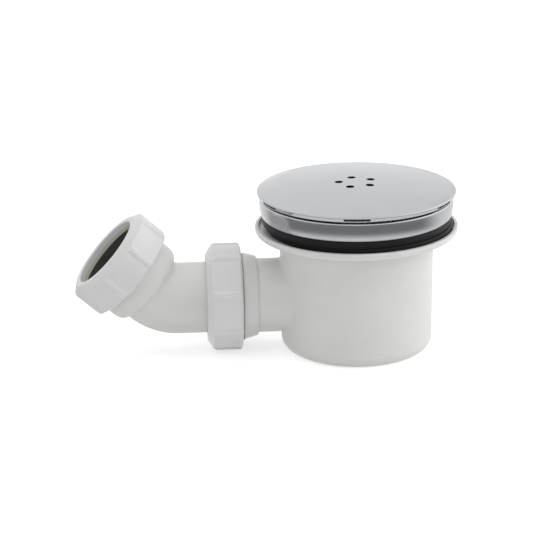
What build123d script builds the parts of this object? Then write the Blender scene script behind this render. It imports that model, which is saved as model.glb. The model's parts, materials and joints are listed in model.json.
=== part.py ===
from build123d import *

import os
from math import radians, sqrt, tan

# Shower trap with a chrome cover, a side outlet and a swivelling elbow of about 45 degrees.
# Millimetres, +Z up. The origin is the centre of the cup's underside, the cup's axis is Z,
# and the outlet leaves along -X.

# Cup of the trap body
cup_radius = 44.3
cup_draft = 0.6
cup_wall = 2.6
neck_wall = 2.15
cup_floor = 2.8
cup_foot_round = 6.5
cup_corner_chamfer = 3.0

# Flat flange round the top of the cup, with a raised lip round the recess of the lower seal
seal_floor = 71.3
plate_thickness = 2.4
plate_edge_round = 3.0
plate_root_round = 1.5
lip_radius = 58.2
lip_width = 2.0
lip_height = 2.0
lip_round = 0.8

# Weir inside the cup, which holds the water of the seal back from the outlet
weir_distance = 26.0
weir_wall = 2.4
weir_gap = 5.2

# Seals under and over the tray
lower_seal_play = 1.7
lower_seal_thickness = 3.9
lower_seal_shift = 1.9
lower_seal_clearance = 0.8
upper_seal_radius = 54.3
upper_seal_play = 1.2
upper_seal_thickness = 4.0
seal_round = 0.9

# Chromed waste flange, which screws into the neck of the trap body
flange_radius = 55.5
flange_height = 10.9
flange_lean = 0.3
flange_foot_inset = 1.3
flange_foot_rise = 3.4
flange_side_round = 9.0
flange_foot_round = 0.5
flange_top_round = 1.0
flange_wall = 2.6
flange_rim_width = 2.0
throat_wall = 2.6
throat_length = 20.0
thread_clearance = 0.15
throat_end_gap = 1.0
seat_width = 1.5
seat_height = 3.0
seat_step = 3.4

# Lift-out insert with the dip tube
insert_clearance = 0.3
insert_rim = 2.0
bowl_wall = 2.4
bowl_depth = 15.0
land_height = 1.6
land_gap = 2.8
land_drop = 4.0
o_ring_cord = 2.7
o_ring_clearance = 0.05
funnel_fall = 6.0
tube_radius = 21.5
tube_wall = 2.2
tube_lift = 9.0
bar_width = 5.0
bar_height = 6.0
bar_round = 1.5

# Domed cover with a downturned rim, and the legged ring that carries it
cover_radius = 56.9
cover_thickness = 1.2
cover_rise = 4.0
cover_gap = 1.0
cover_rim_height = 2.9
cover_rim_wall = 1.4
cover_edge_round = 0.9
cover_foot_round = 0.4
drain_slot_count = 6
drain_slot_width = 15.0
drain_slot_height = 1.2
drain_slot_sill = 0.7
drain_slot_turn = -5.4
cover_hole_radius = 2.4
cover_hole_ring = 9.9
cover_hole_count = 5
cover_hole_turn = -8.0
carrier_width = 3.8
carrier_ring_height = 2.6
carrier_leg_count = 3
carrier_leg_angle = 26.0
carrier_clearance = 0.05

# Side outlet of the trap body
outlet_height = 31.8
spigot_inset = 0.3
spigot_wall = 2.2
spigot_round = 1.2
body_reach = 87.0
body_collar = 9.5
body_collar_step = 1.6
body_collar_taper = 7.0
body_collar_root = 0.8
body_collar_edge = 1.0

# Compression joint, the same on the trap body and on the elbow
pipe_bore = 21.7
socket_wall = 3.1
socket_depth = 15.4
socket_seat = 2.0
socket_seat_depth = 3.0
collar_stub = 1.6
collar_round = 8.0
run_out_gap = 0.9
run_out_depth = 1.2
run_out_cover = 1.5
nut_radius = 29.85
nut_length = 20.2
nut_lip = 3.2
nut_front_radius = 25.0
nut_front_cone = 3.2
nut_edge_round = 0.9
nut_back_chamfer = 1.2
nut_back_radius = 28.6
nut_hole_round = 0.6
rib_count = 8
rib_height = 1.0
rib_root = 4.6
rib_crest = 2.2
rib_round = 1.5
rib_front_gap = 3.3
rib_ramp = 1.4
slip_ring_thickness = 2.0
slip_ring_round = 0.4
rubber_length = 7.0
rubber_nose = 1.9
rubber_clearance = 0.1
body_nut_turn = 20.5
outlet_nut_turn = -8.5

# Elbow with a plain tail and a compression socket
tail_clearance = 1.2
tail_wall = 2.1
tail_grip = 0.1
tail_end_gap = 0.6
elbow_angle = 43.0
elbow_corner = 111.9
elbow_bend_radius = 22.0
elbow_swivel = 3.0
outlet_reach = 44.4
elbow_collar = 13.6
elbow_collar_step = 3.2
elbow_collar_taper = 4.6
elbow_collar_root = 2.4
elbow_collar_edge = 3.6

# Heights and radii that follow from the sizes above
plate_bottom = seal_floor - plate_thickness
lip_top = seal_floor + lip_height
recess_radius = lip_radius - lip_width
lower_seal_radius = recess_radius - lower_seal_shift - lower_seal_clearance
neck_radius = cup_radius - neck_wall
throat_radius = neck_radius - thread_clearance
seat_radius = throat_radius + seat_width
lower_seal_bore = throat_radius + lower_seal_shift + lower_seal_play
upper_seal_bore = throat_radius + upper_seal_play
upper_seal_base = seal_floor + lower_seal_thickness
flange_foot_radius = flange_radius - flange_foot_inset
flange_base = upper_seal_base + upper_seal_thickness
flange_top = flange_base + flange_height
throat_end = flange_base - throat_length
weir_top = throat_end - weir_gap
throat_bore = throat_radius - throat_wall
seat = flange_base + seat_height
rim_top = seat + insert_rim
cover_edge = flange_top + cover_gap
cover_shoulder = cover_edge + cover_rim_height
cover_apex = cover_shoulder + cover_rise
dome_edge = cover_radius - cover_edge_round
dome_radius = (dome_edge**2 + cover_rise**2) / (2 * cover_rise)
spigot_radius = pipe_bore - spigot_inset
tail_radius = pipe_bore - tail_clearance
socket_radius = pipe_bore + socket_wall
nut_stack = nut_lip + slip_ring_thickness + rubber_length
nut_bore = socket_radius + thread_clearance
outlet_axis = Axis((0, 0, outlet_height), (1, 0, 0))


def turned(*corners):
    """Solid turned about Z from corners of (radius, height) or (radius, height, rounding)."""
    outline = make_face(Polyline([corner[:2] for corner in corners], close=True))
    for corner in corners:
        if len(corner) == 3:
            vertex = outline.vertices().sort_by_distance((*corner[:2], 0))[0]
            outline = fillet(vertex, corner[2])
    return revolve(Plane.XZ * outline, Axis.Z)


def washer(bore, radius, base, thickness, rounding):
    """Flat ring with its outer edges rounded."""
    top = base + thickness
    return turned((bore, base), (radius, base, rounding), (radius, top, rounding), (bore, top))


def ring_between(inner, outer, base, top):
    """Plain ring between two radii and two heights."""
    return turned((inner, base), (outer, base), (outer, top), (inner, top))


def body_joint_plane():
    """Plane at the front of the body nut, looking out along the outlet."""
    return Plane((-body_reach, 0, outlet_height), x_dir=(0, -1, 0), z_dir=(-1, 0, 0))


def outlet_joint_plane():
    """Plane at the front of the outlet nut, in the elbow's plane before it is swivelled."""
    corner = Plane((-elbow_corner, 0, outlet_height), x_dir=(0, -1, 0), z_dir=(-1, 0, 0))
    return corner * Rot(X=-elbow_angle) * Pos(Z=outlet_reach)


def swivelled(piece):
    """A piece of the elbow turned about the outlet axis to where it stands."""
    return piece.rotate(outlet_axis, elbow_swivel)


def socket(root, collar, step, taper, root_round, edge_round):
    """Outside of a compression socket: softened collar, run-out groove of the thread and plain thread."""
    face = -nut_stack
    start = -nut_length - collar
    groove_back = -nut_length - run_out_gap
    groove_front = -nut_length + run_out_cover
    return turned(
        (0, start - collar_stub),
        (root, start - collar_stub),
        (root, start, root_round),
        (root + step, start + step / 2, edge_round),
        (socket_radius, start + taper, collar_round),
        (socket_radius, groove_back),
        (socket_radius - run_out_depth, groove_back),
        (socket_radius - run_out_depth, groove_front),
        (socket_radius, groove_front),
        (socket_radius, face),
        (0, face),
    )


def socket_bore():
    """Pipe bore of a compression socket, with the cone at its mouth that the rubber seats in."""
    face = -nut_stack
    return turned(
        (0, face - socket_depth),
        (pipe_bore, face - socket_depth),
        (pipe_bore, face - socket_seat_depth),
        (pipe_bore + socket_seat, face),
        (0, face),
    )


def compression_nut(turn):
    """Compression nut with its front face at the origin: a lipped shell with ribs to grip."""
    back = -nut_length
    shell = turned(
        (nut_bore, back),
        (nut_back_radius, back),
        (nut_radius, back + nut_back_chamfer),
        (nut_radius, -nut_front_cone, nut_edge_round),
        (nut_front_radius, 0, nut_edge_round),
        (pipe_bore, 0, nut_hole_round),
        (pipe_bore, -nut_lip),
        (nut_bore, -nut_lip),
    )
    crest = nut_radius + rib_height
    rib_end = -rib_front_gap
    foot = (nut_bore + nut_back_radius) / 2
    section = make_face(
        Polyline(
            (foot, -rib_root / 2),
            (nut_radius, -rib_root / 2),
            (crest, -rib_crest / 2),
            (crest, rib_crest / 2),
            (nut_radius, rib_root / 2),
            (foot, rib_root / 2),
            close=True,
        )
    )
    section = fillet(section.vertices().sort_by(Axis.X)[-2:], rib_round)
    bar = Pos(Z=back) * extrude(section, nut_length + rib_end)
    envelope = turned(
        (foot, back),
        (nut_back_radius, back),
        (crest, back + nut_back_chamfer),
        (crest, rib_end - rib_ramp),
        (nut_radius, rib_end),
        (foot, rib_end),
    )
    rib = bar & envelope
    ribs = [Rot(Z=turn + k * 360 / rib_count) * rib for k in range(rib_count)]
    return shell + ribs


def slip_ring():
    """Thin ring between the nut's lip and the rubber, which lets the nut turn on it."""
    return Pos(Z=-nut_lip) * washer(
        pipe_bore, socket_radius, -slip_ring_thickness, slip_ring_thickness, slip_ring_round
    )


def compression_rubber(bore):
    """Rubber ring with a cone on its back that seats in the socket's mouth."""
    front = -nut_lip - slip_ring_thickness
    face = -nut_stack + rubber_clearance
    cone = pipe_bore + socket_seat - rubber_clearance
    slope = socket_seat / socket_seat_depth
    return turned(
        (bore, face - rubber_nose),
        (cone - rubber_nose * slope, face - rubber_nose),
        (cone, face),
        (socket_radius, face),
        (socket_radius, front),
        (bore, front),
    )


def wall_radius(height):
    """Outside radius of the drafted cup at a height."""
    return cup_radius - tan(radians(cup_draft)) * (plate_bottom - height)


def make_trap_body():
    """White moulding: drafted cup, flat flange with its lip, weir, spigot and socket."""
    outside = turned(
        (0, 0),
        (wall_radius(0), 0, cup_foot_round),
        (cup_radius, plate_bottom, plate_root_round),
        (lip_radius, plate_bottom, plate_edge_round),
        (lip_radius, lip_top, lip_round),
        (0, lip_top),
    )

    plane = body_joint_plane()
    arm_length = body_reach - weir_distance
    spigot = Pos(Z=-arm_length) * Cylinder(
        spigot_radius, arm_length - nut_length, align=(Align.CENTER, Align.CENTER, Align.MIN)
    )
    shoulder = socket(
        spigot_radius, body_collar, body_collar_step, body_collar_taper, body_collar_root, body_collar_edge
    )
    arm = plane * (spigot + shoulder)

    outer = outside + arm
    outer = fillet(new_edges(outside, arm, combined=outer), spigot_round)

    neck_base = throat_end - throat_end_gap
    corner_top = cup_floor + cup_corner_chamfer
    corner_radius = wall_radius(corner_top) - cup_wall
    hollow = turned(
        (0, cup_floor),
        (corner_radius - cup_corner_chamfer, cup_floor),
        (corner_radius, corner_top),
        (wall_radius(neck_base) - cup_wall, neck_base),
        (neck_radius, neck_base),
        (neck_radius, seal_floor),
        (recess_radius, seal_floor),
        (recess_radius, lip_top),
        (0, lip_top),
    )
    weir = Pos(X=-weir_distance) * Box(
        weir_wall, 2 * cup_radius, weir_top, align=(Align.CENTER, Align.CENTER, Align.MIN)
    )

    waterway_length = arm_length - nut_stack - weir_wall
    waterway = Pos(Z=-nut_stack) * Cylinder(
        spigot_radius - spigot_wall, waterway_length, align=(Align.CENTER, Align.CENTER, Align.MAX)
    )
    bore = plane * (waterway + socket_bore())
    return outer - (hollow - weir) - bore


def make_waste_flange():
    """Chromed ring: rim, fall to the throat, seat of the insert and threaded throat."""
    top_edge = flange_radius - flange_lean
    rim_inside = top_edge - flange_rim_width
    skirt = flange_foot_radius - flange_wall
    hub = seat_radius + flange_wall
    step_top = seat + seat_step
    fall = (flange_top - step_top) / (rim_inside - seat_radius)
    ceiling = step_top - flange_wall * sqrt(1 + fall**2)
    return turned(
        (throat_bore, throat_end),
        (throat_radius, throat_end),
        (throat_radius, flange_base),
        (hub, flange_base),
        (hub, ceiling + (hub - seat_radius) * fall),
        (skirt, ceiling + (skirt - seat_radius) * fall),
        (skirt, flange_base),
        (flange_foot_radius, flange_base, flange_foot_round),
        (flange_radius, flange_base + flange_foot_rise, flange_side_round),
        (top_edge, flange_top, flange_top_round),
        (rim_inside, flange_top),
        (seat_radius, step_top),
        (seat_radius, seat),
        (throat_bore, seat),
    )


def make_insert():
    """Lift-out moulding: rim, bowl with two lands for the O-ring, funnel, dip tube and lifting bar."""
    rim_radius = seat_radius - insert_clearance
    land_radius = throat_bore - insert_clearance
    bowl_outside = throat_bore - o_ring_cord
    bowl_inside = bowl_outside - bowl_wall
    bowl_base = seat - bowl_depth
    tube_bore = tube_radius - tube_wall
    shell = turned(
        (tube_bore, tube_lift),
        (tube_radius, tube_lift),
        (tube_radius, bowl_base - funnel_fall),
        (bowl_outside, bowl_base),
        (bowl_outside, seat),
        (rim_radius, seat),
        (rim_radius, rim_top),
        (bowl_inside, rim_top),
        (bowl_inside, bowl_base + tube_wall),
        (tube_bore, bowl_base - funnel_fall + tube_wall),
    )
    upper_land = seat - land_drop - land_height
    lower_land = upper_land - land_gap - land_height
    for land in (upper_land, lower_land):
        shell += ring_between(bowl_inside + bowl_wall / 2, land_radius, land, land + land_height)
    bar = Pos(Z=rim_top - bar_height) * Box(
        bar_width,
        2 * bowl_inside + bowl_wall,
        bar_height,
        align=(Align.CENTER, Align.CENTER, Align.MIN),
    )
    bar = fillet(bar.edges().filter_by(Axis.Y), bar_round)
    return shell + bar


def make_insert_o_ring():
    """Round rubber cord between the two lands of the insert."""
    cord = o_ring_cord / 2 - o_ring_clearance
    height = seat - land_drop - land_height - land_gap / 2
    return Pos(Z=height) * Torus(throat_bore - o_ring_cord / 2, cord)


def dome_underside(radius):
    """Height of the cover's underside at a radius."""
    return cover_apex - cover_thickness - dome_radius + sqrt(dome_radius**2 - radius**2)


def make_cover():
    """Domed disc with a downturned rim, drain slots in the rim and a ring of drain holes."""
    rim_inside = cover_radius - cover_rim_wall
    dome_end = (dome_edge, cover_shoulder)
    rim_start = (cover_radius, cover_shoulder - cover_edge_round)
    rim_end = (rim_inside, dome_underside(rim_inside))
    crown = (0, cover_apex)
    crown_underside = (0, dome_underside(0))
    section = make_face(
        RadiusArc(crown, dome_end, dome_radius)
        + RadiusArc(dome_end, rim_start, cover_edge_round)
        + Polyline(rim_start, (cover_radius, cover_edge), (rim_inside, cover_edge), rim_end)
        + RadiusArc(rim_end, crown_underside, -dome_radius)
        + Line(crown_underside, crown)
    )
    section = fillet(section.vertices().sort_by_distance((cover_radius, cover_edge, 0))[0], cover_foot_round)
    disc = revolve(Plane.XZ * section, Axis.Z)
    hole = Pos(X=-cover_hole_ring, Z=cover_apex) * Cylinder(cover_hole_radius, 4 * cover_thickness)
    holes = [Rot(Z=cover_hole_turn + k * 360 / cover_hole_count) * hole for k in range(cover_hole_count)]
    slot_middle = cover_edge + drain_slot_sill + drain_slot_height / 2
    slot_start = Plane((0, cover_rim_wall - cover_radius, slot_middle), x_dir=(1, 0, 0), z_dir=(0, -1, 0))
    slot_face = slot_start * SlotOverall(drain_slot_width, drain_slot_height)
    slot = extrude(slot_face, 2 * cover_rim_wall, both=True)
    slots = [Rot(Z=drain_slot_turn + k * 360 / drain_slot_count) * slot for k in range(drain_slot_count)]
    return disc - holes - slots


def make_cover_carrier():
    """Plastic ring under the cover, on legs that stand on the rim of the insert."""
    outer = seat_radius - insert_clearance
    inner = outer - carrier_width
    outer_top = dome_underside(outer) - carrier_clearance
    inner_top = dome_underside(inner) - carrier_clearance
    ring_base = outer_top - carrier_ring_height
    ring = turned((inner, ring_base), (outer, ring_base), (outer, outer_top), (inner, inner_top))
    section = make_face(
        Polyline((inner, rim_top), (outer, rim_top), (outer, ring_base), (inner, ring_base), close=True)
    )
    leg = Rot(Z=-carrier_leg_angle / 2) * revolve(Plane.XZ * section, Axis.Z, carrier_leg_angle)
    legs = [Rot(Z=k * 360 / carrier_leg_count) * leg for k in range(carrier_leg_count)]
    return ring + legs


def make_elbow():
    """White moulding: plain tail, tight bend and compression socket."""
    tail_start = body_reach - nut_stack - socket_depth + tail_end_gap
    start = Plane((-tail_start, 0, outlet_height), z_dir=(-1, 0, 0))
    joint = outlet_joint_plane()
    stop = joint * Pos(Z=-nut_stack - socket_depth)
    corner = (-elbow_corner, 0, outlet_height)
    path = FilletPolyline(start.origin, corner, stop.position, radius=elbow_bend_radius)
    pipe = sweep(start * Circle(tail_radius), path)
    waterway = sweep(start * Circle(tail_radius - tail_wall), path)
    collar = socket(
        tail_radius, elbow_collar, elbow_collar_step, elbow_collar_taper, elbow_collar_root, elbow_collar_edge
    )
    return swivelled(pipe + joint * collar - waterway - joint * socket_bore())


body_joint = body_joint_plane()
outlet_joint = outlet_joint_plane()

pieces = {
    "trap_body": make_trap_body(),
    "lower_seal": Pos(X=lower_seal_shift)
    * washer(lower_seal_bore, lower_seal_radius, seal_floor, lower_seal_thickness, seal_round),
    "upper_seal": washer(
        upper_seal_bore, upper_seal_radius, upper_seal_base, upper_seal_thickness, seal_round
    ),
    "waste_flange": make_waste_flange(),
    "insert": make_insert(),
    "insert_o_ring": make_insert_o_ring(),
    "cover": make_cover(),
    "cover_carrier": make_cover_carrier(),
    "body_nut": body_joint * compression_nut(body_nut_turn),
    "body_slip_ring": body_joint * slip_ring(),
    "body_rubber": body_joint * compression_rubber(tail_radius + tail_grip),
    "elbow": make_elbow(),
    "outlet_nut": swivelled(outlet_joint * compression_nut(outlet_nut_turn)),
    "outlet_slip_ring": swivelled(outlet_joint * slip_ring()),
    "outlet_rubber": swivelled(outlet_joint * compression_rubber(pipe_bore)),
}

os.makedirs("parts", exist_ok=True)
for name, piece in pieces.items():
    piece.label = name
    export_step(piece, f"parts/{name}.step")
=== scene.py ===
import json
from math import cos, radians, sin, tan, tau

import bmesh
import bpy
from bpy.props import FloatProperty, FloatVectorProperty, PointerProperty
from mathutils import Matrix, Vector


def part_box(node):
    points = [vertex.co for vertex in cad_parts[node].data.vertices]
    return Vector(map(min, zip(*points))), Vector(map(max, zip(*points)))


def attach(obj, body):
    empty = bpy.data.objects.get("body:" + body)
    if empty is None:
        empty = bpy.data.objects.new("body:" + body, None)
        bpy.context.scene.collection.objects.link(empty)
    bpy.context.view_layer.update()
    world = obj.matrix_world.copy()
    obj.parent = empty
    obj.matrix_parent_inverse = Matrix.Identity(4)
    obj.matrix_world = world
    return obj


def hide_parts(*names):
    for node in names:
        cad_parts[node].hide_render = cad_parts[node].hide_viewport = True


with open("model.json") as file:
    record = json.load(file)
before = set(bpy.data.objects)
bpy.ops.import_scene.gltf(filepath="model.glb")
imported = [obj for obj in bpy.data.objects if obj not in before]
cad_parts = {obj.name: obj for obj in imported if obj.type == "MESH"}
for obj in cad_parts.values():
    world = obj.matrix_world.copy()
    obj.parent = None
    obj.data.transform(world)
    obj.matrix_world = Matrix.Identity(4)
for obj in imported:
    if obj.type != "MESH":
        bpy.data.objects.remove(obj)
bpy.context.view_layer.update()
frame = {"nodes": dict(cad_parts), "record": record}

bl_info = {
    "name": "Shower trap",
    "version": (1, 0, 0),
    "blender": (4, 5, 0),
    "location": "3D View > Sidebar > Shower trap",
    "description": "Finishes, seals, chrome, threads and studio of a shower trap with a swivelling elbow",
    "category": "Object",
}

MILLIMETRE = 0.001
OUTLET = next(mount for mount in frame["record"]["mounts"] if mount["name"] == "outlet_bore")

# Fineness of the meshes
SEAL_STEPS = 160
SEAL_ROUND_SEGMENTS = 4
FLANGE_STEPS = 192
FLANGE_FOOT_SEGMENTS = 3
FLANGE_EDGE_SEGMENTS = 5
FLANGE_BULGE_SEGMENTS = 20
THREAD_STEPS_PER_TURN = 72
MERGE_DISTANCE = 1e-6
SHARP_ANGLE = radians(40)

# Places of the sealing beads as shares of a seal's width, from its bore
BEAD_PLACES = (0.84, 0.62)

# Half widths of a bead and of the seam, as multiples of the bead's height
BEAD_FOOT = 2.0
BEAD_CREST = 0.7
SEAM_FOOT = 1.6
SEAM_CREST = 0.5

# Half width of the thread's foot as a share of its pitch, and its crest as a share of its foot
THREAD_FOOT = 0.36
THREAD_CREST = 0.35

# Turn about the socket's axis at which each thread starts
BODY_THREAD_TURN = radians(60)
ELBOW_THREAD_TURN = radians(140)

# Dust on the white mouldings, which darkens them, and on the rubber, which it makes paler
PLASTIC_DUST = (0.9, 0.89, 0.87, 1.0)
RUBBER_DUST = (0.25, 0.25, 0.24, 1.0)
RUBBER_DUST_SHARE = 0.12

# What the lamps look at
CUP_MIDDLE = (0, 0, 0.04)
PART_MIDDLE = (-0.05, 0, 0.04)

# Studio floor, and where it darkens as the chrome mirrors it: by its distance from the cup, and ahead of it
WHITE = (1.0, 1.0, 1.0, 1.0)
FLOOR_COLOUR = (0.88, 0.88, 0.88, 1.0)
FLOOR_HALF_WIDTH = 4.0
FLOOR_FALL = (0.12, 0.21)
FLOOR_FRONT = (-0.3, -0.95, 0.0)
FLOOR_FRONT_SPAN = (-0.6, 0.1)

# Room as the chrome mirrors it: its dark end, its bright side, and the height at which the dark ends
ROOM_FRONT = (0.05, -0.99, 0.12)
ROOM_FRONT_SPAN = (0.2, 0.95)
ROOM_RIGHT = (0.96, 0.0, 0.28)
ROOM_RIGHT_SPAN = (0.5, 0.95)
ROOM_SKY_SPAN = (0.14, 0.34)

SENSOR_WIDTH_MM = 36


# Sizes and colours that a user would change

class TrapSizes(bpy.types.PropertyGroup):
    """Sizes of the pieces that are made here"""

    thread_crest: FloatProperty(
        name="Thread crest", description="Radius of the crest of the socket threads",
        default=0.0256, unit="LENGTH", precision=4)
    thread_root: FloatProperty(
        name="Thread root", description="Radius inside the socket wall where the thread starts",
        default=0.0244, unit="LENGTH", precision=4)
    thread_pitch: FloatProperty(
        name="Thread pitch", description="Advance of the thread over one turn",
        default=0.0038, unit="LENGTH", precision=4)
    thread_turns: FloatProperty(
        name="Thread turns", description="Turns of thread on each socket", default=2.4)
    thread_show: FloatProperty(
        name="Thread show", description="How far the end of the thread lies behind its nut",
        default=0.0006, unit="LENGTH", precision=4)
    lower_seal_bore: FloatProperty(
        name="Lower seal bore", description="Radius of the lower seal's bore",
        default=0.0456, unit="LENGTH", precision=4)
    upper_seal_bore: FloatProperty(
        name="Upper seal bore", description="Radius of the upper seal's bore",
        default=0.0432, unit="LENGTH", precision=4)
    seal_round: FloatProperty(
        name="Seal rounding", description="Rounding of the seals' edges",
        default=0.0007, unit="LENGTH", precision=4)
    seal_bead: FloatProperty(
        name="Seal bead", description="Height of the sealing beads and of the seam round a seal",
        default=0.00018, unit="LENGTH", precision=5)
    flange_wall: FloatProperty(
        name="Flange wall", description="Wall of the waste flange",
        default=0.0026, unit="LENGTH", precision=4)
    flange_foot: FloatProperty(
        name="Flange foot", description="Radius of the waste flange where it meets the upper seal",
        default=0.0542, unit="LENGTH", precision=4)
    flange_foot_round: FloatProperty(
        name="Flange foot rounding", description="Rounding of the foot of the flange's side",
        default=0.0005, unit="LENGTH", precision=4)
    flange_bulge: FloatProperty(
        name="Flange bulge", description="Radius where the slopes of the flange's side would meet",
        default=0.05605, unit="LENGTH", precision=5)
    flange_bulge_round: FloatProperty(
        name="Flange bulge rounding", description="Length of each slope that the rounding takes up",
        default=0.0045, unit="LENGTH", precision=4)
    flange_edge: FloatProperty(
        name="Flange edge", description="Radius of the upper edge of the waste flange",
        default=0.0552, unit="LENGTH", precision=4)
    flange_edge_round: FloatProperty(
        name="Flange edge rounding", description="Rounding of the upper edge of the waste flange",
        default=0.001, unit="LENGTH", precision=4)
    flange_rim: FloatProperty(
        name="Flange rim", description="Width of the flat rim on top of the waste flange",
        default=0.002, unit="LENGTH", precision=4)
    seat_radius: FloatProperty(
        name="Seat radius", description="Radius of the insert's seat in the waste flange",
        default=0.0435, unit="LENGTH", precision=4)
    seat_height: FloatProperty(
        name="Seat height", description="Height of the insert's seat over the upper seal",
        default=0.003, unit="LENGTH", precision=4)
    seat_step: FloatProperty(
        name="Seat step", description="Depth of the step round the insert's seat",
        default=0.0034, unit="LENGTH", precision=4)
    throat_radius: FloatProperty(
        name="Throat radius", description="Outside radius of the flange's threaded throat",
        default=0.042, unit="LENGTH", precision=4)
    rim_height: FloatProperty(
        name="Rim height", description="Height of the cover's rim that leans in",
        default=0.0022, unit="LENGTH", precision=4)
    rim_lean: FloatProperty(
        name="Rim lean", description="How far the rim of the cover leans in towards its foot",
        default=radians(18), subtype="ANGLE")


class TrapFinishes(bpy.types.PropertyGroup):
    """Colours of the plastics, the rubbers and the chrome"""

    moulding: FloatVectorProperty(
        name="Body plastic", description="Colour of the trap body, the elbow, the insert and the carrier",
        default=(0.80, 0.797, 0.787), subtype="COLOR", min=0, max=1)
    nut: FloatVectorProperty(
        name="Nut plastic", description="Colour of the compression nuts",
        default=(0.81, 0.80, 0.805), subtype="COLOR", min=0, max=1)
    slip_ring: FloatVectorProperty(
        name="Slip ring plastic", description="Colour of the rings under the nuts",
        default=(0.66, 0.64, 0.56), subtype="COLOR", min=0, max=1)
    rubber: FloatVectorProperty(
        name="Seal rubber", description="Colour of the two tray seals",
        default=(0.0160, 0.0162, 0.0173), subtype="COLOR", min=0, max=1)
    ring_rubber: FloatVectorProperty(
        name="Ring rubber", description="Colour of the compression rings and the O-ring",
        default=(0.062, 0.061, 0.058), subtype="COLOR", min=0, max=1)
    chrome: FloatVectorProperty(
        name="Chrome", description="Colour of the plated flange and cover",
        default=(0.505, 0.511, 0.532), subtype="COLOR", min=0, max=1)


class TrapStage(bpy.types.PropertyGroup):
    """Camera, lamps, room and floor"""

    camera_place: FloatVectorProperty(
        name="Camera place", description="Where the camera stands",
        default=(-0.1132, -1.0953, 0.4184), subtype="TRANSLATION", unit="LENGTH", precision=4)
    camera_turn: FloatProperty(
        name="Camera turn", description="Turn of the view to the right",
        default=radians(3.2), subtype="ANGLE")
    camera_pitch: FloatProperty(
        name="Camera pitch", description="Tilt of the view down",
        default=radians(18.61), subtype="ANGLE")
    camera_roll: FloatProperty(
        name="Camera roll", description="Roll of the view",
        default=radians(-0.97), subtype="ANGLE")
    camera_lens: FloatProperty(
        name="Focal length", description="Focal length in millimetres on a 36 mm sensor",
        default=135.73, subtype="DISTANCE_CAMERA")
    ambient: FloatProperty(
        name="Ambient light", description="Light of the room from all sides", default=0.46)
    front_gloom: FloatProperty(
        name="Dark of the room in front", description="How bright the dark end looks in the chrome",
        default=0.28)
    window: FloatProperty(
        name="Bright of the room on the right", description="How bright the right side looks in the chrome",
        default=1.5)
    floor_white: FloatProperty(
        name="White of the floor", description="Glow that makes the floor white to the camera", default=0.57)
    box_size: FloatProperty(
        name="Soft box size", description="Side of each square soft box", default=0.9, unit="LENGTH")
    key_power: FloatProperty(
        name="Key power", description="Power of the soft box on the right", default=5.6, unit="POWER")
    key_place: FloatVectorProperty(
        name="Key place", description="Where the soft box on the right hangs",
        default=(0.95, -0.15, 0.55), subtype="TRANSLATION", unit="LENGTH")
    top_power: FloatProperty(
        name="Overhead power", description="Power of the soft box above", default=2.9, unit="POWER")
    top_place: FloatVectorProperty(
        name="Overhead place", description="Where the soft box above hangs",
        default=(-0.1, 0.25, 1.0), subtype="TRANSLATION", unit="LENGTH")
    fill_power: FloatProperty(
        name="Fill power", description="Power of the soft box on the left", default=2.0, unit="POWER")
    fill_place: FloatVectorProperty(
        name="Fill place", description="Where the soft box on the left hangs",
        default=(-0.8, -0.9, 0.35), subtype="TRANSLATION", unit="LENGTH")


# Node trees

def node(tree, kind, *sockets, settings=None, **named):
    """Adds a shader node and fills its live sockets, in order or by name, with values or links."""
    made = tree.nodes.new("ShaderNode" + kind)
    for key, value in (settings or {}).items():
        setattr(made, key, value)
    live = [socket for socket in made.inputs if socket.enabled]
    by_name = {socket.name: socket for socket in reversed(live)}
    filled = list(zip(live, sockets))
    filled += [(by_name[key.replace("_", " ")], value) for key, value in named.items()]
    for socket, value in filled:
        if isinstance(value, bpy.types.NodeSocket):
            tree.links.new(value, socket)
        else:
            socket.default_value = value
    return made


def result(made):
    """First live output of a node."""
    return next(socket for socket in made.outputs if socket.enabled)


def arithmetic(tree, operation, first, second):
    """Two values put together by a Math node."""
    return result(node(tree, "Math", first, second, settings={"operation": operation}))


def ramp(tree, value, span=(0.0, 1.0), low=0.0, high=1.0, kind="LINEAR"):
    """A value that goes from low to high over a span and is held beyond its ends."""
    return result(node(tree, "MapRange", value, *span, low, high, settings={"interpolation_type": kind}))


def mixed(tree, share, first, second):
    """Two values mixed by a share."""
    return result(node(tree, "Mix", share, first, second))


def tinted(tree, share, first, second, blend_type="MIX"):
    """Two colours mixed by a share."""
    settings = {"data_type": "RGBA", "blend_type": blend_type}
    return result(node(tree, "Mix", share, first, second, settings=settings))


def facing(tree, vector, direction):
    """How far a vector points in a direction, as a dot product."""
    return result(node(tree, "VectorMath", vector, direction, settings={"operation": "DOT_PRODUCT"}))


def shader_group(name, inputs, outputs):
    """Empty shader node group with a Place vector, value inputs and value outputs."""
    group = bpy.data.node_groups.new(name, "ShaderNodeTree")
    group.interface.new_socket("Place", in_out="INPUT", socket_type="NodeSocketVector")
    for label, default in inputs.items():
        socket = group.interface.new_socket(label, in_out="INPUT", socket_type="NodeSocketFloat")
        socket.default_value = default
    for label in outputs:
        group.interface.new_socket(label, in_out="OUTPUT", socket_type="NodeSocketFloat")
    return group, group.nodes.new("NodeGroupInput").outputs, group.nodes.new("NodeGroupOutput").inputs


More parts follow.
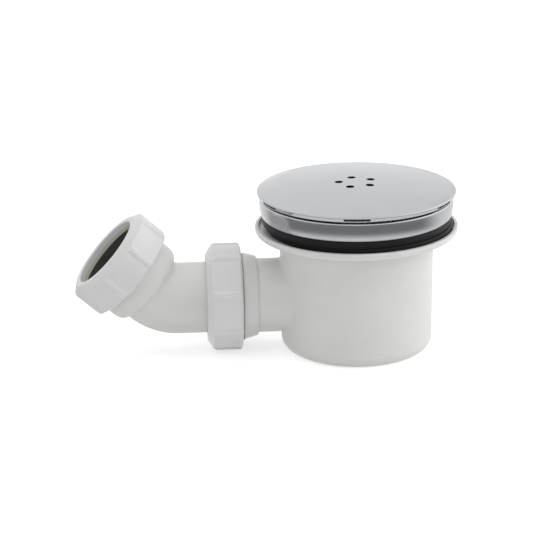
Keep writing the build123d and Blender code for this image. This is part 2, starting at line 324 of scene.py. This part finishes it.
def moulded_skin_group():
    """Skin of a moulded surface: fine grain, slow waves and cloudy colour."""
    group, given, out = shader_group(
        "moulded_skin", {"Grain scale": 2600.0, "Wave scale": 90.0, "Wave share": 0.75}, ["Height", "Cloud"])
    cloud_to_wave = 0.45
    cloud_scale = arithmetic(group, "MULTIPLY", given["Wave scale"], cloud_to_wave)
    place = given["Place"]
    grain = node(group, "TexNoise", Vector=place, Scale=given["Grain scale"], Detail=2.0, Roughness=0.55)
    wave = node(group, "TexNoise", Vector=place, Scale=given["Wave scale"], Detail=1.0, Roughness=0.4)
    cloud = node(group, "TexNoise", Vector=place, Scale=cloud_scale, Detail=3.0, Roughness=0.6)
    height = mixed(group, given["Wave share"], grain.outputs["Fac"], wave.outputs["Fac"])
    group.links.new(height, out["Height"])
    group.links.new(cloud.outputs["Fac"], out["Cloud"])


def handling_marks_group():
    """Faint smears and specks of dust from handling."""
    group, given, out = shader_group(
        "handling_marks", {"Smear scale": 55.0, "Speck scale": 420.0}, ["Smear", "Specks"])
    smear_span = (0.42, 0.68)
    speck_span = (0.10, 0.04)
    place = given["Place"]
    streaks = result(node(group, "Mapping", Vector=place, Scale=(1.0, 1.0, 2.2), Rotation=(0.3, 0.2, 0.7)))
    smear = node(group, "TexNoise", Vector=streaks, Scale=given["Smear scale"], Detail=4.0, Distortion=0.6)
    specks = node(group, "TexVoronoi", Vector=place, Scale=given["Speck scale"])
    group.links.new(ramp(group, smear.outputs["Fac"], smear_span), out["Smear"])
    group.links.new(ramp(group, specks.outputs["Distance"], speck_span), out["Specks"])


def place_group(tree, name, place, **values):
    """Places a shader node group and sets its values."""
    made = tree.nodes.new("ShaderNodeGroup")
    made.node_tree = bpy.data.node_groups[name]
    tree.links.new(place, made.inputs["Place"])
    for key, value in values.items():
        made.inputs[key.replace("_", " ")].default_value = value
    return made.outputs


def new_material(name):
    """Material with a Principled shader; gives it with its tree, the shader and Object coordinates."""
    material = bpy.data.materials.new(name)
    material.use_nodes = True
    tree = material.node_tree
    return material, tree, tree.nodes["Principled BSDF"], node(tree, "TexCoord").outputs["Object"]


def lay_on(tree, shader, colour, roughness, bump):
    """Links a finish's colour, roughness and bump to its shader."""
    tree.links.new(colour, shader.inputs["Base Color"])
    tree.links.new(roughness, shader.inputs["Roughness"])
    tree.links.new(result(bump), shader.inputs["Normal"])


def shade(colour, factor):
    """A colour made lighter or darker, as RGBA."""
    return (*(min(1.0, channel * factor) for channel in colour), 1.0)


def moulded_plastic(name, colour, roughness):
    """White plastic with a satin moulded skin, slow waves of shrinkage and a little dust."""
    material, tree, shader, place = new_material(name)
    darkest, lightest = 0.94, 1.04
    smear_roughness = 0.09
    skin = place_group(tree, "moulded_skin", place)
    marks = place_group(tree, "handling_marks", place, Smear_scale=38.0)
    cloudy = tinted(tree, skin["Cloud"], shade(colour, darkest), shade(colour, lightest))
    dusty = tinted(tree, marks["Specks"], cloudy, PLASTIC_DUST, blend_type="MULTIPLY")
    gloss = ramp(tree, marks["Smear"], low=roughness, high=roughness + smear_roughness)
    bump = node(tree, "Bump", Strength=0.16, Distance=0.00035, Height=skin["Height"])
    lay_on(tree, shader, dusty, gloss, bump)
    shader.inputs["IOR"].default_value = 1.49
    return material


def moulded_rubber(name, colour):
    """Matt dark rubber with a fine skin and pale dust."""
    material, tree, shader, place = new_material(name)
    darkest, lightest = 0.7, 1.5
    clean_roughness, smeared_roughness = 0.36, 0.50
    skin = place_group(tree, "moulded_skin", place, Grain_scale=1800.0, Wave_scale=140.0, Wave_share=0.4)
    marks = place_group(tree, "handling_marks", place, Speck_scale=520.0)
    cloudy = tinted(tree, skin["Cloud"], shade(colour, darkest), shade(colour, lightest))
    dust = arithmetic(tree, "MULTIPLY", marks["Specks"], RUBBER_DUST_SHARE)
    dusty = tinted(tree, dust, cloudy, RUBBER_DUST)
    gloss = ramp(tree, marks["Smear"], low=clean_roughness, high=smeared_roughness)
    bump = node(tree, "Bump", Strength=0.3, Distance=0.0002, Height=skin["Height"])
    lay_on(tree, shader, dusty, gloss, bump)
    shader.inputs["Specular IOR Level"].default_value = 0.14
    return material


def chrome_plate(name, colour, roughness):
    """Bright plating with faint smears and the slightest orange peel."""
    material, tree, shader, place = new_material(name)
    smeared = 0.965
    smear_roughness = 0.045
    skin = place_group(tree, "moulded_skin", place, Grain_scale=900.0, Wave_scale=45.0, Wave_share=0.85)
    marks = place_group(tree, "handling_marks", place, Smear_scale=30.0)
    tint = tinted(tree, marks["Smear"], (*colour, 1.0), shade(colour, smeared))
    gloss = ramp(tree, marks["Smear"], low=roughness, high=roughness + smear_roughness)
    bump = node(tree, "Bump", Strength=0.05, Distance=0.0002, Height=skin["Height"])
    lay_on(tree, shader, tint, gloss, bump)
    shader.inputs["Metallic"].default_value = 1.0
    return material


# Meshes

def finished(bm, name, material, body):
    """Turns a bmesh into a smooth piece that rides on a body."""
    bmesh.ops.remove_doubles(bm, verts=bm.verts, dist=MERGE_DISTANCE)
    bmesh.ops.recalc_face_normals(bm, faces=bm.faces)
    for face in bm.faces:
        face.smooth = True
    mesh = bpy.data.meshes.new(name)
    bm.to_mesh(mesh)
    bm.free()
    mesh.set_sharp_from_angle(angle=SHARP_ANGLE)
    mesh.materials.append(material)
    piece = bpy.data.objects.new(name, mesh)
    bpy.context.scene.collection.objects.link(piece)
    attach(piece, body)
    return piece


def corners_of(name):
    """Lowest and highest corner of a solid's box."""
    low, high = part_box(name)
    return Vector(low), Vector(high)


def closed_outline(bm, corners):
    """Closed loop of edges through (radius, height) corners in the XZ plane; gives the edges."""
    verts = [bm.verts.new((radius, 0.0, height)) for radius, height in corners]
    return [bm.edges.new((verts[k - 1], verts[k])) for k in range(len(verts))]


def round_corner(bm, corner, rounding, segments):
    """Rounds the corner of an outline that lies at a (radius, height) point."""
    radius, height = corner
    point = Vector((radius, 0.0, height))
    nearest = min(bm.verts, key=lambda vert: (vert.co - point).length)
    bmesh.ops.bevel(bm, geom=[nearest], offset=rounding, segments=segments, profile=0.5, affect="VERTICES",
                    material=-1)


def spin_outline(bm, steps):
    """Spins an outline into a closed ring about Z."""
    bmesh.ops.spin(bm, geom=bm.verts[:] + bm.edges[:], cent=(0, 0, 0), axis=(0, 0, 1), angle=tau,
                   steps=steps, use_merge=True)


def seal_mesh(low, high, bore, rounding, bead):
    """Spun washer with rounded edges, a seam round its edge and two sealing beads on its upper face."""
    bm = bmesh.new()
    radius = (high.x - low.x) / 2
    side = radius - bead
    middle = (low.z + high.z) / 2
    face = high.z - bead
    lower_edge = (side, low.z)
    upper_edge = (side, face)
    corners = [
        (bore, low.z), lower_edge, (side, middle - SEAM_FOOT * bead), (radius, middle - SEAM_CREST * bead),
        (radius, middle + SEAM_CREST * bead), (side, middle + SEAM_FOOT * bead), upper_edge]
    for share in BEAD_PLACES:
        place = bore + (radius - bore) * share
        corners += [
            (place + BEAD_FOOT * bead, face), (place + BEAD_CREST * bead, high.z),
            (place - BEAD_CREST * bead, high.z), (place - BEAD_FOOT * bead, face)]
    corners.append((bore, face))
    closed_outline(bm, corners)
    for edge in (lower_edge, upper_edge):
        round_corner(bm, edge, rounding, SEAL_ROUND_SEGMENTS)
    spin_outline(bm, SEAL_STEPS)
    bmesh.ops.translate(bm, verts=bm.verts, vec=((low.x + high.x) / 2, (low.y + high.y) / 2, 0))
    return bm


def flange_mesh(sizes, foot_height, throat_end, top):
    """Spun waste flange: threaded throat, seat of the insert, fall, rim and a side that bulges."""
    bm = bmesh.new()
    wall = sizes.flange_wall
    bore = sizes.throat_radius - wall
    seat = foot_height + sizes.seat_height
    step = seat + sizes.seat_step
    rim = sizes.flange_edge - sizes.flange_rim
    fall = (top - step) / (rim - sizes.seat_radius)
    ceiling = step - wall * (1 + fall**2) ** 0.5
    hub = sizes.seat_radius + wall
    skirt = sizes.flange_foot - wall
    foot = (sizes.flange_foot, foot_height)
    bulge = (sizes.flange_bulge, (foot_height + top) / 2)
    edge = (sizes.flange_edge, top)
    closed_outline(bm, [
        (bore, throat_end), (sizes.throat_radius, throat_end), (sizes.throat_radius, foot_height),
        (hub, foot_height), (hub, ceiling + wall * fall),
        (skirt, ceiling + (skirt - sizes.seat_radius) * fall), (skirt, foot_height),
        foot, bulge, edge, (rim, top), (sizes.seat_radius, step), (sizes.seat_radius, seat), (bore, seat)])
    round_corner(bm, foot, sizes.flange_foot_round, FLANGE_FOOT_SEGMENTS)
    round_corner(bm, edge, sizes.flange_edge_round, FLANGE_EDGE_SEGMENTS)
    round_corner(bm, bulge, sizes.flange_bulge_round, FLANGE_BULGE_SEGMENTS)
    spin_outline(bm, FLANGE_STEPS)
    return bm


def cover_mesh(solid, rim_top, lean):
    """Copy of the solid cover whose rim leans in towards its foot, below a height."""
    bm = bmesh.new()
    bm.from_mesh(solid.data)
    bmesh.ops.remove_doubles(bm, verts=bm.verts, dist=MERGE_DISTANCE)
    for vert in bm.verts:
        drop = rim_top - vert.co.z
        if drop > 0:
            vert.co.xy *= 1 - drop * tan(lean) / vert.co.xy.length
    return bm


def thread_mesh(sizes, end, turn):
    """Helical ridge about Z, down to an end height, with blunt ends."""
    bm = bmesh.new()
    foot = sizes.thread_pitch * THREAD_FOOT
    crest = foot * THREAD_CREST
    edges = closed_outline(bm, [
        (sizes.thread_root, -foot), (sizes.thread_crest, -crest), (sizes.thread_crest, crest),
        (sizes.thread_root, foot)])
    ridge_end = bmesh.ops.contextual_create(bm, geom=edges)["faces"]
    reach = sizes.thread_pitch * sizes.thread_turns
    steps = round(THREAD_STEPS_PER_TURN * sizes.thread_turns)
    bmesh.ops.spin(bm, geom=ridge_end, cent=(0, 0, 0), axis=(0, 0, 1), angle=tau * sizes.thread_turns,
                   steps=steps, dvec=(0, 0, -reach / steps))
    bmesh.ops.rotate(bm, verts=bm.verts, cent=(0, 0, 0), matrix=Matrix.Rotation(turn, 3, "Z"))
    bmesh.ops.translate(bm, verts=bm.verts, vec=(0, 0, end + reach))
    return bm


def along(origin, direction):
    """Matrix that carries Z onto a direction and the origin to a point."""
    turn = Vector((0, 0, 1)).rotation_difference(Vector(direction)).to_matrix().to_4x4()
    return Matrix.Translation(origin) @ turn


# Studio

def floor_card(stage):
    """White card that keeps the object's shadow; the chrome sees it fall off into a dark room in front."""
    material = bpy.data.materials.new("studio_floor")
    material.use_nodes = True
    tree = material.node_tree
    tree.nodes.clear()
    path = node(tree, "LightPath").outputs
    place = node(tree, "TexCoord").outputs["Object"]
    distance = result(node(tree, "VectorMath", place, settings={"operation": "LENGTH"}))
    heading = result(node(tree, "VectorMath", place, settings={"operation": "NORMALIZE"}))
    away = ramp(tree, distance, FLOOR_FALL, kind="SMOOTHSTEP")
    ahead = ramp(tree, facing(tree, heading, FLOOR_FRONT), FLOOR_FRONT_SPAN, kind="SMOOTHSTEP")
    sheen = ramp(tree, arithmetic(tree, "MULTIPLY", away, ahead), low=1.0, high=stage.front_gloom)
    card = result(node(tree, "BsdfDiffuse", Color=FLOOR_COLOUR))
    glow = result(node(tree, "Emission", Color=WHITE, Strength=stage.floor_white))
    seen = result(node(tree, "AddShader", card, glow))
    mirrored = result(node(tree, "Emission", Color=WHITE, Strength=sheen))
    lit = result(node(tree, "MixShader", path["Is Glossy Ray"], card, mirrored))
    shown = result(node(tree, "MixShader", path["Is Camera Ray"], lit, seen))
    node(tree, "OutputMaterial", Surface=shown)
    return material


def lay_floor(stage):
    """Wide flat floor under the cup."""
    bm = bmesh.new()
    bmesh.ops.create_grid(bm, x_segments=1, y_segments=1, size=FLOOR_HALF_WIDTH)
    mesh = bpy.data.meshes.new("studio_floor")
    bm.to_mesh(mesh)
    bm.free()
    mesh.materials.append(floor_card(stage))
    floor = bpy.data.objects.new("studio_floor", mesh)
    bpy.context.scene.collection.objects.link(floor)


def light_room(scene, stage):
    """White studio for the camera and the chrome, darker in front, and an even light for the rest."""
    world = bpy.data.worlds.new("studio")
    scene.world = world
    world.use_nodes = True
    tree = world.node_tree
    tree.nodes.clear()
    path = node(tree, "LightPath").outputs
    ray = node(tree, "TexCoord").outputs["Generated"]
    height = node(tree, "SeparateXYZ", ray).outputs["Z"]
    sky = ramp(tree, height, ROOM_SKY_SPAN, kind="SMOOTHSTEP")
    gloom = ramp(tree, facing(tree, ray, ROOM_FRONT), ROOM_FRONT_SPAN, 1.0, stage.front_gloom, "SMOOTHSTEP")
    window = ramp(tree, facing(tree, ray, ROOM_RIGHT), ROOM_RIGHT_SPAN, 1.0, stage.window, "SMOOTHSTEP")
    mirrored = arithmetic(tree, "MULTIPLY", mixed(tree, sky, gloom, 1.0), window)
    mirroring = arithmetic(tree, "MAXIMUM", path["Is Glossy Ray"], path["Is Transmission Ray"])
    studio = mixed(tree, mirroring, stage.ambient, mirrored)
    white = mixed(tree, path["Is Camera Ray"], studio, 1.0)
    light = result(node(tree, "Background", Color=WHITE, Strength=white))
    node(tree, "OutputWorld", Surface=light)


def hang_soft_box(name, power, place, target, size):
    """Square area lamp that looks at a target and that the chrome doesn't mirror."""
    lamp = bpy.data.lights.new(name, "AREA")
    lamp.energy = power
    lamp.size = size
    light = bpy.data.objects.new(name, lamp)
    light.visible_glossy = False
    aim = Vector(target) - Vector(place)
    light.matrix_world = Matrix.Translation(place) @ aim.to_track_quat("-Z", "Y").to_matrix().to_4x4()
    bpy.context.scene.collection.objects.link(light)


def set_camera(scene, stage):
    """Camera at the photograph's viewing angle."""
    turn, pitch, roll = stage.camera_turn, stage.camera_pitch, stage.camera_roll
    forward = Vector((sin(turn) * cos(pitch), cos(turn) * cos(pitch), -sin(pitch)))
    right = Vector((cos(turn), -sin(turn), 0))
    up = right.cross(forward)
    side = cos(roll) * right + sin(roll) * up
    rise = cos(roll) * up - sin(roll) * right
    lens = bpy.data.cameras.new("camera")
    lens.sensor_width = SENSOR_WIDTH_MM
    lens.lens = stage.camera_lens
    camera = bpy.data.objects.new("camera", lens)
    view = Matrix((side, rise, -forward)).transposed().to_4x4()
    camera.matrix_world = Matrix.Translation(stage.camera_place) @ view
    scene.collection.objects.link(camera)
    scene.camera = camera
    scene.view_settings.view_transform = "Standard"


# Operators

class TRAP_OT_finishes(bpy.types.Operator):
    """Makes the plastics, the rubbers and the chrome, and dresses the solids in them"""
    bl_idname = "trap.finishes"
    bl_label = "Dress the solids"

    def execute(self, context):
        colours = context.scene.trap_finishes
        moulded_skin_group()
        handling_marks_group()
        worn = (
            (moulded_plastic("body_plastic", colours.moulding, roughness=0.34),
             ("trap_body", "elbow", "insert", "cover_carrier")),
            (moulded_plastic("nut_plastic", colours.nut, roughness=0.30), ("body_nut", "outlet_nut")),
            (moulded_plastic("slip_ring_plastic", colours.slip_ring, roughness=0.4),
             ("body_slip_ring", "outlet_slip_ring")),
            (moulded_rubber("seal_rubber", colours.rubber), ("lower_seal", "upper_seal")),
            (moulded_rubber("ring_rubber", colours.ring_rubber),
             ("body_rubber", "outlet_rubber", "insert_o_ring")),
            (chrome_plate("polished_chrome", colours.chrome, roughness=0.06), ("cover",)),
            (chrome_plate("satin_chrome", colours.chrome, roughness=0.17), ("waste_flange",)),
        )
        for material, solids in worn:
            for name in solids:
                for slot in frame["nodes"][name].material_slots:
                    slot.material = material
        return {"FINISHED"}


class TRAP_OT_seals(bpy.types.Operator):
    """Moulds the two tray seals with their seams and sealing beads"""
    bl_idname = "trap.seals"
    bl_label = "Mould the seals"

    def execute(self, context):
        sizes = context.scene.trap_sizes
        rubber = bpy.data.materials["seal_rubber"]
        for name, bore in (("lower_seal", sizes.lower_seal_bore), ("upper_seal", sizes.upper_seal_bore)):
            low, high = corners_of(name)
            bm = seal_mesh(low, high, bore, sizes.seal_round, sizes.seal_bead)
            piece = finished(bm, name + "_moulded", rubber, "trap")
            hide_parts(name)
        return {"FINISHED"}


class TRAP_OT_waste_flange(bpy.types.Operator):
    """Spins the chromed waste flange with its bulging side"""
    bl_idname = "trap.waste_flange"
    bl_label = "Spin the waste flange"

    def execute(self, context):
        low, high = corners_of("waste_flange")
        _, seal_top = corners_of("upper_seal")
        bm = flange_mesh(context.scene.trap_sizes, seal_top.z, low.z, high.z)
        piece = finished(bm, "waste_flange_spun", bpy.data.materials["satin_chrome"], "trap")
        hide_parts("waste_flange")
        return {"FINISHED"}


class TRAP_OT_cover(bpy.types.Operator):
    """Leans the rim of the chromed cover in towards its foot"""
    bl_idname = "trap.cover"
    bl_label = "Lean the cover's rim"

    def execute(self, context):
        sizes = context.scene.trap_sizes
        low, _ = corners_of("cover")
        bm = cover_mesh(frame["nodes"]["cover"], low.z + sizes.rim_height, sizes.rim_lean)
        piece = finished(bm, "cover_leaning", bpy.data.materials["polished_chrome"], "trap")
        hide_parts("cover")
        return {"FINISHED"}


class TRAP_OT_threads(bpy.types.Operator):
    """Raises the thread on the body's socket and on the elbow's"""
    bl_idname = "trap.threads"
    bl_label = "Raise the threads"

    def execute(self, context):
        sizes = context.scene.trap_sizes
        plastic = bpy.data.materials["body_plastic"]
        low, high = corners_of("body_nut")
        body_mouth = (low.x, 0, (low.z + high.z) / 2)
        elbow_axis = Vector(OUTLET["axis"])
        half_bore = OUTLET["dims"]["length_mm"] * MILLIMETRE / 2
        elbow_mouth = Vector(OUTLET["pos_m"]) + elbow_axis * half_bore
        nut_length = high.x - low.x
        thread_end = -nut_length - sizes.thread_show
        sockets = (
            ("body_thread", "trap", along(body_mouth, (-1, 0, 0)), BODY_THREAD_TURN),
            ("elbow_thread", "elbow", along(elbow_mouth, elbow_axis), ELBOW_THREAD_TURN),
        )
        for name, body, place, turn in sockets:
            bm = thread_mesh(sizes, thread_end, turn)
            bmesh.ops.transform(bm, matrix=place, verts=bm.verts)
            finished(bm, name, plastic, body)
        return {"FINISHED"}


class TRAP_OT_stage(bpy.types.Operator):
    """Sets the floor, the lamps, the room and the camera"""
    bl_idname = "trap.stage"
    bl_label = "Set the stage"

    def execute(self, context):
        stage = context.scene.trap_stage
        lay_floor(stage)
        light_room(context.scene, stage)
        hang_soft_box("key_box", stage.key_power, stage.key_place, CUP_MIDDLE, stage.box_size)
        hang_soft_box("top_box", stage.top_power, stage.top_place, PART_MIDDLE, stage.box_size)
        hang_soft_box("fill_box", stage.fill_power, stage.fill_place, PART_MIDDLE, stage.box_size)
        set_camera(context.scene, stage)
        return {"FINISHED"}


class TRAP_PT_panel(bpy.types.Panel):
    """Steps that finish the shower trap"""
    bl_idname = "TRAP_PT_panel"
    bl_label = "Shower trap"
    bl_space_type = "VIEW_3D"
    bl_region_type = "UI"
    bl_category = "Shower trap"

    def draw(self, context):
        for step in STEPS:
            self.layout.operator(step.bl_idname)
        for group in GROUPS:
            settings = getattr(context.scene, group)
            for name in settings.__annotations__:
                self.layout.prop(settings, name)


STEPS = (
    TRAP_OT_finishes, TRAP_OT_seals, TRAP_OT_waste_flange, TRAP_OT_cover, TRAP_OT_threads, TRAP_OT_stage)
GROUPS = {"trap_sizes": TrapSizes, "trap_finishes": TrapFinishes, "trap_stage": TrapStage}
CLASSES = (*GROUPS.values(), *STEPS, TRAP_PT_panel)


def register():
    """Registers the classes and gives every scene its settings."""
    for kind in CLASSES:
        bpy.utils.register_class(kind)
    for name, kind in GROUPS.items():
        setattr(bpy.types.Scene, name, PointerProperty(type=kind))


def unregister():
    """Takes the settings and the classes away again."""
    for name in GROUPS:
        delattr(bpy.types.Scene, name)
    for kind in reversed(CLASSES):
        bpy.utils.unregister_class(kind)


def main():
    """Builds the dressed trap on its stage."""
    register()
    bpy.ops.trap.finishes()
    bpy.ops.trap.seals()
    bpy.ops.trap.waste_flange()
    bpy.ops.trap.cover()
    bpy.ops.trap.threads()
    bpy.ops.trap.stage()


if __name__ == "__main__":
    main()
